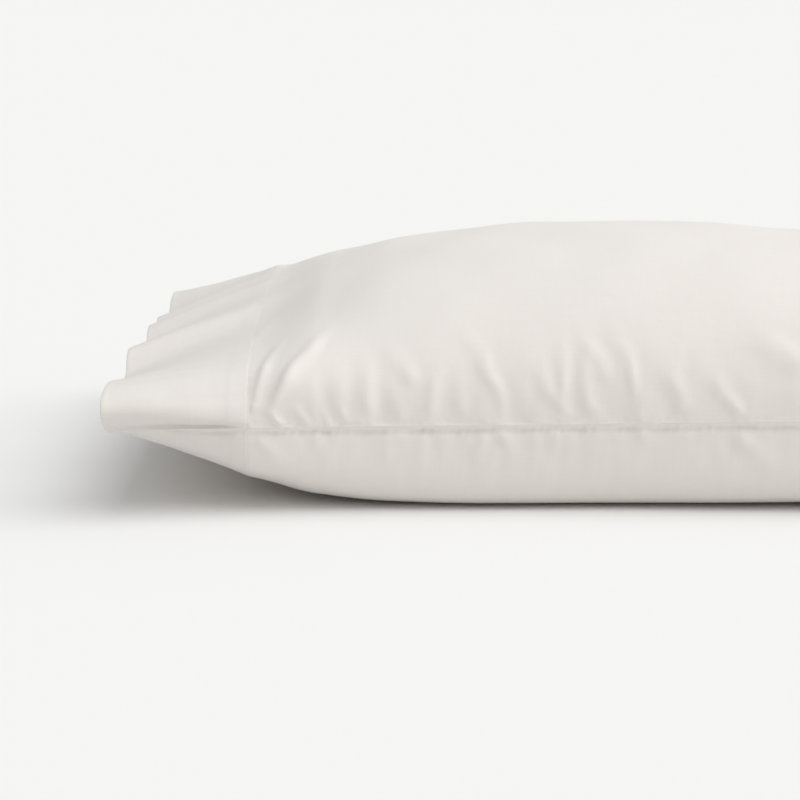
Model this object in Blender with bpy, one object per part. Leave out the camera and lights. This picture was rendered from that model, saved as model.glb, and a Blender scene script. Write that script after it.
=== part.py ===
"""A filled pillowcase lying on its back. +X points to the closed end, the open mouth faces -X."""
import bpy
import bmesh
import numpy as np

MM = 0.001
OBJECT_NAME = "pillowcase"

# sizes of the filled case, in mm
LENGTH = 720.0            # mouth to closed end
MOUTH_HALF = 236.0        # half of the straight distance across the mouth
HEM_DEPTH = 102.0         # turned-back hem, mouth to stitching
HEM_CROWN = 2.0           # the upper hem arches this much between its mouth and its stitching
FILLED_BY = 150.0         # the body is fully rounded this far from the mouth
SETTLED_BY = 290.0        # the flutes' slant across the cloth has gone this far from the mouth
CLOTH = 2.0               # thickness of the double cloth in the open sleeve
END_ROUND = 190.0         # length over which the closed end rounds down to its seam
END_TOP_POWER = 2.3
END_BOTTOM_POWER = 2.8
LEAN_POWER = 0.5          # how widely the lean toward the back seam spreads
END_DRAWN_IN = 12.0       # closed-end seam, middle drawn in from the corners
DRAW_START = 400.0        # drawing-in of the closed end begins here
SETTLE = 14.0             # softness of the edge of the flat underside
SEAM_CALM = 7.0           # folds die out this near to a seam
FLOOR_CALM = 12.0         # folds die out this near to the surface below
NOSE_GAP = 6.0            # the open sleeve's walls end this far short of the hem stitching
TRIANGLE_SHARE = 0.42     # share of the fine loft's triangles that is kept
FLAT_BELOW = 0.05         # cloth lower than this lies flat on the surface

# one row for each section: distance from the mouth, half width, height of the side seams,
# rise of the upper panel, its roundness power, its lean toward the back seam,
# drop of the lower panel, its roundness power
SECTIONS = (
    (0, 236, 64.0, 55.0, 0.36, 8, 28, 0.50),
    (50, 233, 64.0, 56.0, 0.36, 8, 51, 0.50),
    (100, 227, 64.0, 63.0, 0.36, 12, 64, 0.49),
    (125, 224.5, 64.0, 71.5, 0.38, 11, 69.5, 0.475),
    (150, 222, 64.0, 81.5, 0.54, 6.5, 75.5, 0.46),
    (200, 218, 64.0, 99.5, 0.77, 1, 88, 0.44),
    (280, 214, 64.5, 111.0, 0.82, 0, 94, 0.42),
    (360, 212, 65.5, 115.0, 0.84, 0, 94, 0.42),
    (440, 212, 67.0, 112.5, 0.84, 0, 94, 0.42),
    (520, 213, 68.5, 105.5, 0.84, 0, 92, 0.43),
    (600, 216, 70.0, 98.0, 0.82, 0, 90, 0.45),
    (660, 221, 69.0, 94.0, 0.80, 0, 84, 0.48),
    (720, 230, 66.0, 92.0, 0.80, 0, 80, 0.50),
)
HALF_WIDTH, SEAM_HEIGHT, RISE, RISE_POWER, LEAN, DROP, DROP_POWER = 1, 2, 3, 4, 5, 6, 7

# one row for each crest, hollow and shoulder of the hem, front seam to back seam:
# share of the cloth's width, then at the mouth: across from the front corner, height over it,
# pulled in; then at the stitching: across from the front seam, height over it, pulled in
UPPER_HEM = (
    (0.000, 0, 0, 0, 0, 0, 0), (0.013, -5, 5, -0.3, 0, 6.5, 0),
    (0.026, -10, 10, -0.7, 1.5, 13, 0), (0.037, -13.5, 14.5, -1, 5, 19, 0),
    (0.046, -12.8, 19, -1, 9, 23.5, -0.5), (0.057, -8.5, 24, -1, 13.5, 28, -0.5),
    (0.075, 1.5, 28.3, -0.5, 22, 34, -0.7), (0.098, 16, 30.5, 0, 32, 38, -1),
    (0.147, 44, 28, 0, 56, 42, -1.5),
    (0.202, 74, 21, 0, 94, 45, -2.5), (0.257, 104, 15.5, 0, 136, 46.5, -4),
    (0.303, 129, 14.5, 0, 172, 47, -5), (0.327, 141, 17, 0, 190, 50, -5),
    (0.349, 147, 27, 0, 204, 54, -5), (0.371, 156, 31, 0, 216, 55.5, -5),
    (0.413, 178, 29, 0, 236, 54.5, -5.5), (0.470, 208, 21, 0, 261, 53, -6),
    (0.535, 244, 13.5, 0, 288, 52.5, -6.5), (0.575, 264, 14, 1, 303, 54, -6.5),
    (0.600, 276, 18.5, 1, 314, 56, -6.5), (0.617, 283, 25, 1, 322, 56.5, -7),
    (0.640, 295, 26, 1, 333, 55.5, -7), (0.690, 321, 18, 1, 360, 53, -6.5),
    (0.721, 337, 15.5, 1, 375, 53, -6.5), (0.744, 349, 18, 1, 384, 54.5, -6),
    (0.762, 358, 21.5, 1, 391, 54.5, -6), (0.797, 376, 18, 2, 402, 53.5, -6),
    (0.817, 387, 15, 3, 408, 54, -5.5), (0.834, 395, 18, 4, 413, 54.5, -5.5),
    (0.853, 405, 17, 5, 418, 54.5, -5.5), (0.868, 413, 17.5, 5, 423, 54.5, -5),
    (0.883, 421, 21, 5, 428, 54, -5), (0.900, 428, 28, 6, 433, 52, -5),
    (0.922, 438, 30, 7, 440, 46, -4), (0.952, 456, 23, 5, 448, 31, -3),
    (1.000, 472, 8, 1, 454, 2, 0),
)
LOWER_HEM = (
    (0.000, 0, 0, 0, 0, 0, 0), (0.030, 13, -2.5, 0, 1.5, -14.5, 0),
    (0.060, 27, -5, 0, 6, -28.5, 0), (0.090, 43, -7, 0, 18, -37, 0),
    (0.137, 66, -9, 0, 42, -44.5, 0), (0.215, 104, -7, 0, 82, -51, 0),
    (0.295, 142, -5, 0, 122, -54.5, 0), (0.390, 190, -12, 0, 172, -57, 0),
    (0.490, 238, -18, 0, 222, -58, 0), (0.590, 286, -13, 0, 272, -57.5, 0),
    (0.665, 325, -7, 0, 312, -56, 0), (0.745, 363, -10, 0, 352, -53, 0),
    (0.845, 411, -13, 0, 401, -46.5, 0), (0.920, 446, -5, 0, 439, -34.5, 0),
    (0.965, 460, 1.5, 0, 451, -16.5, 0), (1.000, 472, 8, 1, 454, 2, 0),
)
MOUTH_ACROSS, MOUTH_HEIGHT, MOUTH_PULL, SEWN_ACROSS, SEWN_HEIGHT, SEWN_PULL = 1, 2, 3, 4, 5, 6

# one row for each fold: which side seam it starts from (0 front, 1 back), its start and end
# as distance from the mouth and distance up the cloth from that seam, half width, height
UPPER_FOLDS = (
    (0, 104, 6, 128, 124, 9.0, 3.4),
    (0, 112, 4, 172, 124, 9.5, 4.6),
    (0, 168, 0, 172, 60, 9.0, 2.0),
    (0, 210, 0, 200, 64, 9.0, 2.0),
    (0, 234, 0, 236, 66, 9.0, 2.2),
    (0, 288, 2, 246, 90, 9.5, 2.8),
    (0, 338, -4, 298, 76, 9.5, 2.6),
    (0, 336, 18, 336, 80, 9.0, 2.2),
    (0, 362, 26, 334, 94, 9.0, 2.0),
    (0, 384, 14, 356, 88, 9.5, 2.4),
    (0, 420, -2, 398, 64, 9.5, 2.4),
    (0, 464, -4, 424, 54, 9.5, 2.6),
    (0, 512, 28, 456, 84, 12.0, 3.0),
    (0, 564, -2, 534, 64, 10.0, 2.4),
    (0, 608, 0, 566, 80, 10.0, 2.6),
    (0, 704, 4, 638, 82, 11.0, 3.0),
    (1, 104, 6, 130, 118, 9.5, 3.6),
    (1, 112, 4, 176, 114, 10.0, 4.2),
    (1, 228, 0, 202, 70, 9.5, 2.4),
    (1, 302, 0, 268, 82, 9.5, 2.8),
    (1, 352, 0, 342, 62, 9.0, 2.0),
    (1, 406, 0, 372, 74, 9.5, 2.6),
    (1, 488, 0, 450, 68, 9.5, 2.6),
    (1, 590, 0, 550, 74, 10.0, 2.6),
    (1, 704, 4, 640, 80, 11.0, 3.0),
)
LOWER_FOLDS = (
    (0, 106, -2, 146, 46, 9.0, 2.4),
    (0, 274, -2, 258, 50, 9.0, 2.0),
    (0, 282, -2, 306, 46, 9.0, 2.2),
    (0, 450, -2, 492, 48, 9.5, 2.6),
    (0, 588, -2, 616, 50, 9.5, 2.0),
    (0, 694, 0, 646, 52, 10.0, 2.2),
    (1, 106, -2, 150, 48, 9.5, 2.4),
    (1, 288, -2, 314, 50, 9.0, 2.2),
    (1, 418, -2, 450, 50, 9.5, 2.2),
    (1, 568, -2, 598, 50, 9.5, 2.2),
    (1, 694, 0, 648, 52, 10.0, 2.2),
)

# one row for each run of loft rows: up to this distance from the mouth, spacing
STATION_RUNS = ((84, 9.5), (200, 6.0), (560, 12.0), (680, 8.0), (712, 5.0), (720, 2.5))
SHARE_RUNS = ((0.21, 0.0105), (0.80, 0.0165), (1.0, 0.0135))
# one row for each ring of the rounded nose inside the sleeve: share of the height, distance in
NOSE_RINGS = ((0.93, 94.0), (0.82, 89.5), (0.66, 85.0), (0.46, 81.0), (0.23, 78.0))
NOSE_NARROWING = 0.12

CLOTH_COLOUR = (0.80, 0.77, 0.73, 1.0)
CLOTH_ROUGHNESS = 0.82


def clear_scene():
    for item in list(bpy.data.objects):
        bpy.data.objects.remove(item, do_unlink=True)


def new_collection(name):
    collection = bpy.data.collections.new(name)
    bpy.context.scene.collection.children.link(collection)
    return collection


def spaced(runs):
    """Positions from zero, evenly spaced within each run."""
    places = [0.0]
    start = 0.0
    for stop, step in runs:
        count = max(1, int(round((stop - start) / step)))
        for index in range(1, count + 1):
            places.append(start + (stop - start) * index / count)
        start = float(stop)
    return np.array(places)


def curve_slopes(places, values):
    """Slopes of a smooth curve that never overshoots its rows."""
    steps = np.diff(places)
    rates = np.diff(values) / steps
    slopes = np.zeros_like(values)
    slopes[0] = rates[0]
    slopes[-1] = rates[-1]
    for index in range(1, len(values) - 1):
        before = rates[index - 1]
        after = rates[index]
        if before * after > 0.0:
            weight_before = 2.0 * steps[index] + steps[index - 1]
            weight_after = steps[index] + 2.0 * steps[index - 1]
            total = weight_before + weight_after
            slopes[index] = total / (weight_before / before + weight_after / after)
    return slopes


def curve(rows, column, at):
    """Smooth value of one column of a table at the given places of its first column."""
    table = np.array(rows, dtype=float)
    places = table[:, 0]
    values = table[:, column]
    slopes = curve_slopes(places, values)
    at = np.clip(np.asarray(at, dtype=float), places[0], places[-1])
    left = np.clip(np.searchsorted(places, at, side="right") - 1, 0, len(places) - 2)
    step = places[left + 1] - places[left]
    part = (at - places[left]) / step
    rest = 1.0 - part
    value = (1.0 + 2.0 * part) * rest ** 2 * values[left]
    value = value + part * rest ** 2 * step * slopes[left]
    value = value + part ** 2 * (3.0 - 2.0 * part) * values[left + 1]
    return value - part ** 2 * rest * step * slopes[left + 1]


def smooth_share(value):
    value = np.clip(value, 0.0, 1.0)
    return value * value * (3.0 - 2.0 * value)


def end_fullness(distance, power):
    """One along the case, falling round to zero at the closed-end seam."""
    part = min(max((distance - (LENGTH - END_ROUND)) / END_ROUND, 0.0), 1.0)
    return (1.0 - part ** power) ** 0.5


def settle(height):
    """Press the underside softly onto the surface it lies on."""
    pressed = np.clip(height + SETTLE, 0.0, None) ** 2 / (4.0 * SETTLE)
    return np.where(height > SETTLE, height, pressed)


def full_section(distance, shares, upper):
    """Across and height of a filled section at equal shares of its cloth."""
    turn = np.pi * smooth_share(np.linspace(0.0, 1.0, 400))
    across = -np.cos(turn) * float(curve(SECTIONS, HALF_WIDTH, distance))
    bow = np.clip(np.sin(turn), 0.0, None)
    if upper:
        size = float(curve(SECTIONS, RISE, distance)) * end_fullness(distance, END_TOP_POWER)
        height = size * bow ** float(curve(SECTIONS, RISE_POWER, distance))
        lean = float(curve(SECTIONS, LEAN, distance))
        height = height - lean * np.cos(turn) * bow ** LEAN_POWER
    else:
        size = float(curve(SECTIONS, DROP, distance)) * end_fullness(distance, END_BOTTOM_POWER)
        height = -size * bow ** float(curve(SECTIONS, DROP_POWER, distance))
    lengths = np.hypot(np.diff(across), np.diff(height))
    run = np.concatenate([[0.0], np.cumsum(lengths)])
    run = run / run[-1]
    return np.interp(shares, run, across), np.interp(shares, run, height)


def sewn_shares(table, shares):
    """Where the given shares lie along the line of the hem stitching."""
    steps = np.linspace(0.0, 1.0, 1000)
    across = curve(table, SEWN_ACROSS, steps)
    height = curve(table, SEWN_HEIGHT, steps)
    lengths = np.hypot(np.diff(across), np.diff(height))
    run = np.concatenate([[0.0], np.cumsum(lengths)])
    return np.interp(shares, steps, run / run[-1])


def section_row(distance, shares, upper):
    """Points across one station: mouth, straight cloth to the stitching, then the filled body."""
    table = UPPER_HEM if upper else LOWER_HEM
    loose = max(1.0 - distance / HEM_DEPTH, 0.0)
    part = min(max((distance - HEM_DEPTH) / (FILLED_BY - HEM_DEPTH), 0.0), 1.0)
    filled = 2.0 * part - part ** 2
    slant = 1.0 - smooth_share((distance - HEM_DEPTH) / (SETTLED_BY - HEM_DEPTH))
    slanted = shares + (sewn_shares(table, shares) - shares) * slant
    full_across, full_height = full_section(distance, slanted, upper)
    sewn_half = float(curve(SECTIONS, HALF_WIDTH, HEM_DEPTH))
    sewn_across = curve(table, SEWN_ACROSS, shares) - sewn_half
    tight_across = (1.0 - filled) * sewn_across + filled * full_across
    tight_height = (1.0 - filled) * curve(table, SEWN_HEIGHT, shares) + filled * full_height
    y = loose * (curve(table, MOUTH_ACROSS, shares) - MOUTH_HALF) + (1.0 - loose) * tight_across
    z = loose * curve(table, MOUTH_HEIGHT, shares) + (1.0 - loose) * tight_height
    z = z + float(curve(SECTIONS, SEAM_HEIGHT, distance))
    if upper:
        z = z + HEM_CROWN * 4.0 * loose * (1.0 - loose) * np.sin(np.pi * shares)
    else:
        z = settle(z)
    half = float(curve(SECTIONS, HALF_WIDTH, distance))
    drawn = min(max((distance - DRAW_START) / (LENGTH - DRAW_START), 0.0), 1.0) ** 2
    x = distance + loose * curve(table, MOUTH_PULL, shares)
    x = x + (1.0 - loose) * (1.0 - filled) * curve(table, SEWN_PULL, shares)
    x = x - END_DRAWN_IN * drawn * (1.0 - (y / half) ** 2)
    return np.stack([x - LENGTH / 2.0, y, z], axis=-1)


def cloth_distances(grid):
    """Distance along the cloth from the front seam and from the back seam."""
    lengths = np.linalg.norm(np.diff(grid, axis=1), axis=2)
    start = np.zeros((grid.shape[0], 1))
    front = np.concatenate([start, np.cumsum(lengths, axis=1)], axis=1)
    back = front[:, -1:] - front
    return front, back


def outward_directions(grid, upper):
    along = np.gradient(grid, axis=0)
    across = np.gradient(grid, axis=1)
    out = np.cross(along, across)
    size = np.linalg.norm(out, axis=2, keepdims=True)
    out = out / np.maximum(size, 1e-9)
    return out if upper else -out


def fold_height(fold, distance, up):
    """A soft ridge with a hollow on each side, fading at both of its ends."""
    side, start, start_up, stop, stop_up, half_width, height = fold
    line = np.array([stop - start, stop_up - start_up], dtype=float)
    length = np.hypot(line[0], line[1])
    line = line / length
    along = ((distance - start) * line[0] + (up - start_up) * line[1]) / length
    beside = ((distance - start) * line[1] - (up - start_up) * line[0]) / half_width
    fade = np.sin(np.pi * np.clip(along, 0.0, 1.0))
    return height * fade * (1.0 - 1.6 * beside ** 2) * np.exp(-beside ** 2)


def fold_relief(grid, stations, folds):
    front, back = cloth_distances(grid)
    distance = np.repeat(stations[:, None], grid.shape[1], axis=1)
    relief = np.zeros(front.shape)
    for fold in folds:
        relief = relief + fold_height(fold, distance, back if fold[0] else front)
    calm = smooth_share(np.minimum(front, back) / SEAM_CALM)
    calm = calm * smooth_share(grid[:, :, 2] / FLOOR_CALM)
    calm = calm * smooth_share((LENGTH - distance) / SEAM_CALM)
    return relief * calm


def panel(stations, shares, upper):
    """Grid of points of one whole panel, rows from mouth to closed end."""
    rows = [section_row(float(distance), shares, upper) for distance in stations]
    grid = np.array(rows)
    relief = fold_relief(grid, stations, UPPER_FOLDS if upper else LOWER_FOLDS)
    grid = grid + outward_directions(grid, upper) * relief[:, :, None]
    grid[:, :, 2] = np.maximum(grid[:, :, 2], 0.0)
    return grid


def inside_wall(grid, rows, upper):
    """The same panel one cloth thickness further in, without its seam allowances."""
    inner = grid - outward_directions(grid, upper) * CLOTH
    inner[0, :, 0] = grid[0, :, 0]
    return inner[:rows, 1:-1]


def nose_ring(upper_row, lower_row, share, distance):
    """The sleeve's last ring, flattened and narrowed, further toward the mouth."""
    middle = (upper_row + lower_row) / 2.0
    narrow = 1.0 - NOSE_NARROWING * (1.0 - share)
    ring = []
    for row in (upper_row, lower_row):
        moved = middle + (row - middle) * share
        moved[:, 1] = moved[:, 1] * narrow
        moved[:, 0] = distance - LENGTH / 2.0
        ring.append(moved)
    return ring


def add_row(mesh, points):
    return [mesh.verts.new(point * MM) for point in points]


def skin(mesh, rows, flip):
    """Triangles between neighbouring rows, split toward the corners of the closed end."""
    for first, second in zip(rows[:-1], rows[1:]):
        middle = len(first) // 2
        for index in range(len(first) - 1):
            near = [first[index], second[index]]
            far = [second[index + 1], first[index + 1]]
            if index < middle:
                add_face(mesh, [near[0], near[1], far[1]], flip)
                add_face(mesh, [near[1], far[0], far[1]], flip)
            else:
                add_face(mesh, [near[0], near[1], far[0]], flip)
                add_face(mesh, [near[0], far[0], far[1]], flip)


def add_face(mesh, loop, flip):
    if flip:
        loop = loop[::-1]
    mesh.faces.new(loop)


def outside_rows(mesh, upper, lower):
    """Upper and lower vertex rows that share the vertices of the two side seams."""
    upper_rows = [add_row(mesh, points) for points in upper]
    lower_rows = []
    for points, above in zip(lower, upper_rows):
        between = add_row(mesh, points[1:-1])
        lower_rows.append([above[0]] + between + [above[-1]])
    return upper_rows, lower_rows


def close_sides(mesh, upper_rows, lower_rows):
    """Narrow faces that join the inside walls beside the seam allowances."""
    for index in range(len(upper_rows) - 1):
        for end, flip in ((0, True), (-1, False)):
            loop = [upper_rows[index][end], lower_rows[index][end]]
            loop = loop + [lower_rows[index + 1][end], upper_rows[index + 1][end]]
            add_face(mesh, loop, flip)


def close_lip(mesh, outer, inner, upper):
    """Cut edge of the hem between the outside and the inside of one panel."""
    for index in range(len(inner) - 1):
        loop = [outer[index + 1], outer[index + 2], inner[index + 1], inner[index]]
        add_face(mesh, loop, not upper)


def close_corners(mesh, upper_outer, lower_outer, upper_inner, lower_inner):
    for end, near, flip in ((0, 1, False), (-1, -2, True)):
        seam = upper_outer[end]
        add_face(mesh, [seam, upper_outer[near], upper_inner[end]], flip)
        add_face(mesh, [seam, upper_inner[end], lower_inner[end]], flip)
        add_face(mesh, [seam, lower_inner[end], lower_outer[near]], flip)


def build_case():
    stations = spaced(STATION_RUNS)
    shares = spaced(SHARE_RUNS)
    upper = panel(stations, shares, True)
    lower = panel(stations, shares, False)
    lower[:, 0] = upper[:, 0]
    lower[:, -1] = upper[:, -1]
    lower[-1] = upper[-1]
    mesh = bmesh.new()
    upper_rows, lower_rows = outside_rows(mesh, upper, lower)
    skin(mesh, upper_rows, False)
    skin(mesh, lower_rows, True)
    depth = int(np.argmin(np.abs(stations - (HEM_DEPTH - NOSE_GAP)))) + 1
    upper_wall = inside_wall(upper, depth, True)
    lower_wall = inside_wall(lower, depth, False)
    inner_upper = [add_row(mesh, points) for points in upper_wall]
    inner_lower = [add_row(mesh, points) for points in lower_wall]
    for share, distance in NOSE_RINGS:
        ring = nose_ring(upper_wall[-1], lower_wall[-1], share, distance)
        inner_upper.append(add_row(mesh, ring[0]))
        inner_lower.append(add_row(mesh, ring[1]))
    skin(mesh, inner_upper, True)
    skin(mesh, inner_lower, False)
    close_sides(mesh, inner_upper, inner_lower)
    skin(mesh, [inner_upper[-1], inner_lower[-1]], True)
    close_lip(mesh, upper_rows[0], inner_upper[0], True)
    close_lip(mesh, lower_rows[0], inner_lower[0], False)
    close_corners(mesh, upper_rows[0], lower_rows[0], inner_upper[0], inner_lower[0])
    bmesh.ops.remove_doubles(mesh, verts=mesh.verts, dist=0.05 * MM)
    bmesh.ops.triangulate(mesh, faces=mesh.faces)
    bmesh.ops.recalc_face_normals(mesh, faces=mesh.faces)
    return mesh


def centre_on_floor(data):
    """Middle of the bounding box over the origin, lowest point at zero."""
    points = np.empty(len(data.vertices) * 3)
    data.vertices.foreach_get("co", points)
    points = points.reshape(-1, 3)
    middle = (points.min(axis=0) + points.max(axis=0)) / 2.0
    middle[2] = points[:, 2].min()
    data.vertices.foreach_set("co", (points - middle).ravel())
    data.update()


def cloth_material():
    material = bpy.data.materials.new("plain_cotton")
    material.use_nodes = True
    shader = material.node_tree.nodes["Principled BSDF"]
    shader.inputs["Base Color"].default_value = CLOTH_COLOUR
    shader.inputs["Roughness"].default_value = CLOTH_ROUGHNESS
    shader.inputs["Metallic"].default_value = 0.0
    material.diffuse_color = CLOTH_COLOUR
    return material


def thin_out(item):
    """Keep fewer triangles where the cloth is nearly flat."""
    modifier = item.modifiers.new("thin_out", "DECIMATE")
    modifier.decimate_type = "COLLAPSE"
    modifier.ratio = TRIANGLE_SHARE
    modifier.use_collapse_triangulate = True
    graph = bpy.context.evaluated_depsgraph_get()
    thinned = bpy.data.meshes.new_from_object(item.evaluated_get(graph))
    item.modifiers.remove(modifier)
    full = item.data
    item.data = thinned
    bpy.data.meshes.remove(full)
    thinned.name = OBJECT_NAME


def press_flat(data):
    """Put the cloth that touches the surface exactly on it."""
    for vertex in data.vertices:
        if vertex.co.z < FLAT_BELOW * MM:
            vertex.co.z = 0.0
    data.update()


def main():
    clear_scene()
    collection = new_collection(OBJECT_NAME)
    mesh = build_case()
    data = bpy.data.meshes.new(OBJECT_NAME)
    mesh.to_mesh(data)
    mesh.free()
    centre_on_floor(data)
    data.shade_smooth()
    data.materials.append(cloth_material())
    item = bpy.data.objects.new(OBJECT_NAME, data)
    collection.objects.link(item)
    thin_out(item)
    press_flat(item.data)


main()
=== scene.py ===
"""Looks of a filled cotton pillowcase: fine cloth, seams, stitching, finish, light and camera."""
import math

import bpy
import numpy as np
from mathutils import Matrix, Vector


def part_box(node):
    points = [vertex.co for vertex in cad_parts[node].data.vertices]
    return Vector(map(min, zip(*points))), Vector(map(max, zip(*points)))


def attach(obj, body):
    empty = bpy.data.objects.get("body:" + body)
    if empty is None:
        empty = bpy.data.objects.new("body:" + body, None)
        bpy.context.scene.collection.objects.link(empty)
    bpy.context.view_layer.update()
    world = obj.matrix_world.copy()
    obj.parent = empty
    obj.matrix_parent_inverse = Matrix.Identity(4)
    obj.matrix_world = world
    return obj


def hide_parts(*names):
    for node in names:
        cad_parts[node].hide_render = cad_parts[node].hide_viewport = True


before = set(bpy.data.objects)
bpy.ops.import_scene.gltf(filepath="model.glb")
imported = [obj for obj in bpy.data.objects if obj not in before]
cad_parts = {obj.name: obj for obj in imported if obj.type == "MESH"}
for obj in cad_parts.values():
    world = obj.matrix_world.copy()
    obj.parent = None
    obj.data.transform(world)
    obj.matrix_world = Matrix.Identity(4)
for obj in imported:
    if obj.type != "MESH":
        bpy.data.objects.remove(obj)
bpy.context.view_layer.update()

MM = 0.001
NODE = "pillowcase"
# the hem's look is a deeper copy of the body's cotton: painted shade on the hem and its folded mouth
# edge
BODY_LOOK, INSIDE_LOOK, HEM_PAINTED_SHADE_LOOK = 0, 1, 2

# sizes of the filled case, in mm, the same as those of the solid
LENGTH = 720.0            # mouth to closed end
MOUTH_HALF = 236.0        # half of the straight distance across the mouth
HEM_DEPTH = 102.0         # turned-back hem, mouth to stitching
HEM_CROWN = 2.0           # the upper hem arches this much between its mouth and its stitching
FILLED_BY = 150.0         # the body is fully rounded this far from the mouth
SETTLED_BY = 290.0        # the flutes' slant across the cloth has gone this far from the mouth
END_ROUND = 190.0         # length over which the closed end rounds down to its seam
END_TOP_POWER = 2.3
END_BOTTOM_POWER = 2.8
LEAN_POWER = 0.5          # how widely the lean toward the back seam spreads
END_DRAWN_IN = 12.0       # closed-end seam, middle drawn in from the corners
DRAW_START = 400.0        # drawing-in of the closed end begins here
SETTLE = 14.0             # softness of the edge of the flat underside
FLOOR_CALM = 12.0         # folds die out this near to the surface below
SECTION_STEPS = 1200      # fine steps by which a section's cloth is measured
SEWN_STEPS = 1000         # and the line of the hem stitching

# one row for each section: distance from the mouth, half width, height of the side seams,
# rise of the upper panel, its roundness power, its lean toward the back seam,
# drop of the lower panel, its roundness power
SECTIONS = (
    (0, 236, 64.0, 55.0, 0.36, 8, 28, 0.50),
    (50, 233, 64.0, 56.0, 0.36, 8, 51, 0.50),
    (100, 227, 64.0, 63.0, 0.36, 12, 64, 0.49),
    (125, 224.5, 64.0, 71.5, 0.38, 11, 69.5, 0.475),
    (150, 222, 64.0, 81.5, 0.54, 6.5, 75.5, 0.46),
    (200, 218, 64.0, 99.5, 0.77, 1, 88, 0.44),
    (280, 214, 64.5, 111.0, 0.82, 0, 94, 0.42),
    (360, 212, 65.5, 115.0, 0.84, 0, 94, 0.42),
    (440, 212, 67.0, 112.5, 0.84, 0, 94, 0.42),
    (520, 213, 68.5, 105.5, 0.84, 0, 92, 0.43),
    (600, 216, 70.0, 98.0, 0.82, 0, 90, 0.45),
    (660, 221, 69.0, 94.0, 0.80, 0, 84, 0.48),
    (720, 230, 66.0, 92.0, 0.80, 0, 80, 0.50),
)
HALF_WIDTH, SEAM_HEIGHT, RISE, RISE_POWER, LEAN, DROP, DROP_POWER = 1, 2, 3, 4, 5, 6, 7

# one row for each crest, hollow and shoulder of the hem, front seam to back seam:
# share of the cloth's width, then at the mouth: across from the front corner, height over it,
# pulled in; then at the stitching: across from the front seam, height over it, pulled in
UPPER_HEM = (
    (0.000, 0, 0, 0, 0, 0, 0), (0.013, -5, 5, -0.3, 0, 6.5, 0),
    (0.026, -10, 10, -0.7, 1.5, 13, 0), (0.037, -13.5, 14.5, -1, 5, 19, 0),
    (0.046, -12.8, 19, -1, 9, 23.5, -0.5), (0.057, -8.5, 24, -1, 13.5, 28, -0.5),
    (0.075, 1.5, 28.3, -0.5, 22, 34, -0.7), (0.098, 16, 30.5, 0, 32, 38, -1),
    (0.147, 44, 28, 0, 56, 42, -1.5),
    (0.202, 74, 21, 0, 94, 45, -2.5), (0.257, 104, 15.5, 0, 136, 46.5, -4),
    (0.303, 129, 14.5, 0, 172, 47, -5), (0.327, 141, 17, 0, 190, 50, -5),
    (0.349, 147, 27, 0, 204, 54, -5), (0.371, 156, 31, 0, 216, 55.5, -5),
    (0.413, 178, 29, 0, 236, 54.5, -5.5), (0.470, 208, 21, 0, 261, 53, -6),
    (0.535, 244, 13.5, 0, 288, 52.5, -6.5), (0.575, 264, 14, 1, 303, 54, -6.5),
    (0.600, 276, 18.5, 1, 314, 56, -6.5), (0.617, 283, 25, 1, 322, 56.5, -7),
    (0.640, 295, 26, 1, 333, 55.5, -7), (0.690, 321, 18, 1, 360, 53, -6.5),
    (0.721, 337, 15.5, 1, 375, 53, -6.5), (0.744, 349, 18, 1, 384, 54.5, -6),
    (0.762, 358, 21.5, 1, 391, 54.5, -6), (0.797, 376, 18, 2, 402, 53.5, -6),
    (0.817, 387, 15, 3, 408, 54, -5.5), (0.834, 395, 18, 4, 413, 54.5, -5.5),
    (0.853, 405, 17, 5, 418, 54.5, -5.5), (0.868, 413, 17.5, 5, 423, 54.5, -5),
    (0.883, 421, 21, 5, 428, 54, -5), (0.900, 428, 28, 6, 433, 52, -5),
    (0.922, 438, 30, 7, 440, 46, -4), (0.952, 456, 23, 5, 448, 31, -3),
    (1.000, 472, 8, 1, 454, 2, 0),
)
LOWER_HEM = (
    (0.000, 0, 0, 0, 0, 0, 0), (0.030, 13, -2.5, 0, 1.5, -14.5, 0),
    (0.060, 27, -5, 0, 6, -28.5, 0), (0.090, 43, -7, 0, 18, -37, 0),
    (0.137, 66, -9, 0, 42, -44.5, 0), (0.215, 104, -7, 0, 82, -51, 0),
    (0.295, 142, -5, 0, 122, -54.5, 0), (0.390, 190, -12, 0, 172, -57, 0),
    (0.490, 238, -18, 0, 222, -58, 0), (0.590, 286, -13, 0, 272, -57.5, 0),
    (0.665, 325, -7, 0, 312, -56, 0), (0.745, 363, -10, 0, 352, -53, 0),
    (0.845, 411, -13, 0, 401, -46.5, 0), (0.920, 446, -5, 0, 439, -34.5, 0),
    (0.965, 460, 1.5, 0, 451, -16.5, 0), (1.000, 472, 8, 1, 454, 2, 0),
)
MOUTH_ACROSS, MOUTH_HEIGHT, MOUTH_PULL, SEWN_ACROSS, SEWN_HEIGHT, SEWN_PULL = 1, 2, 3, 4, 5, 6

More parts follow.
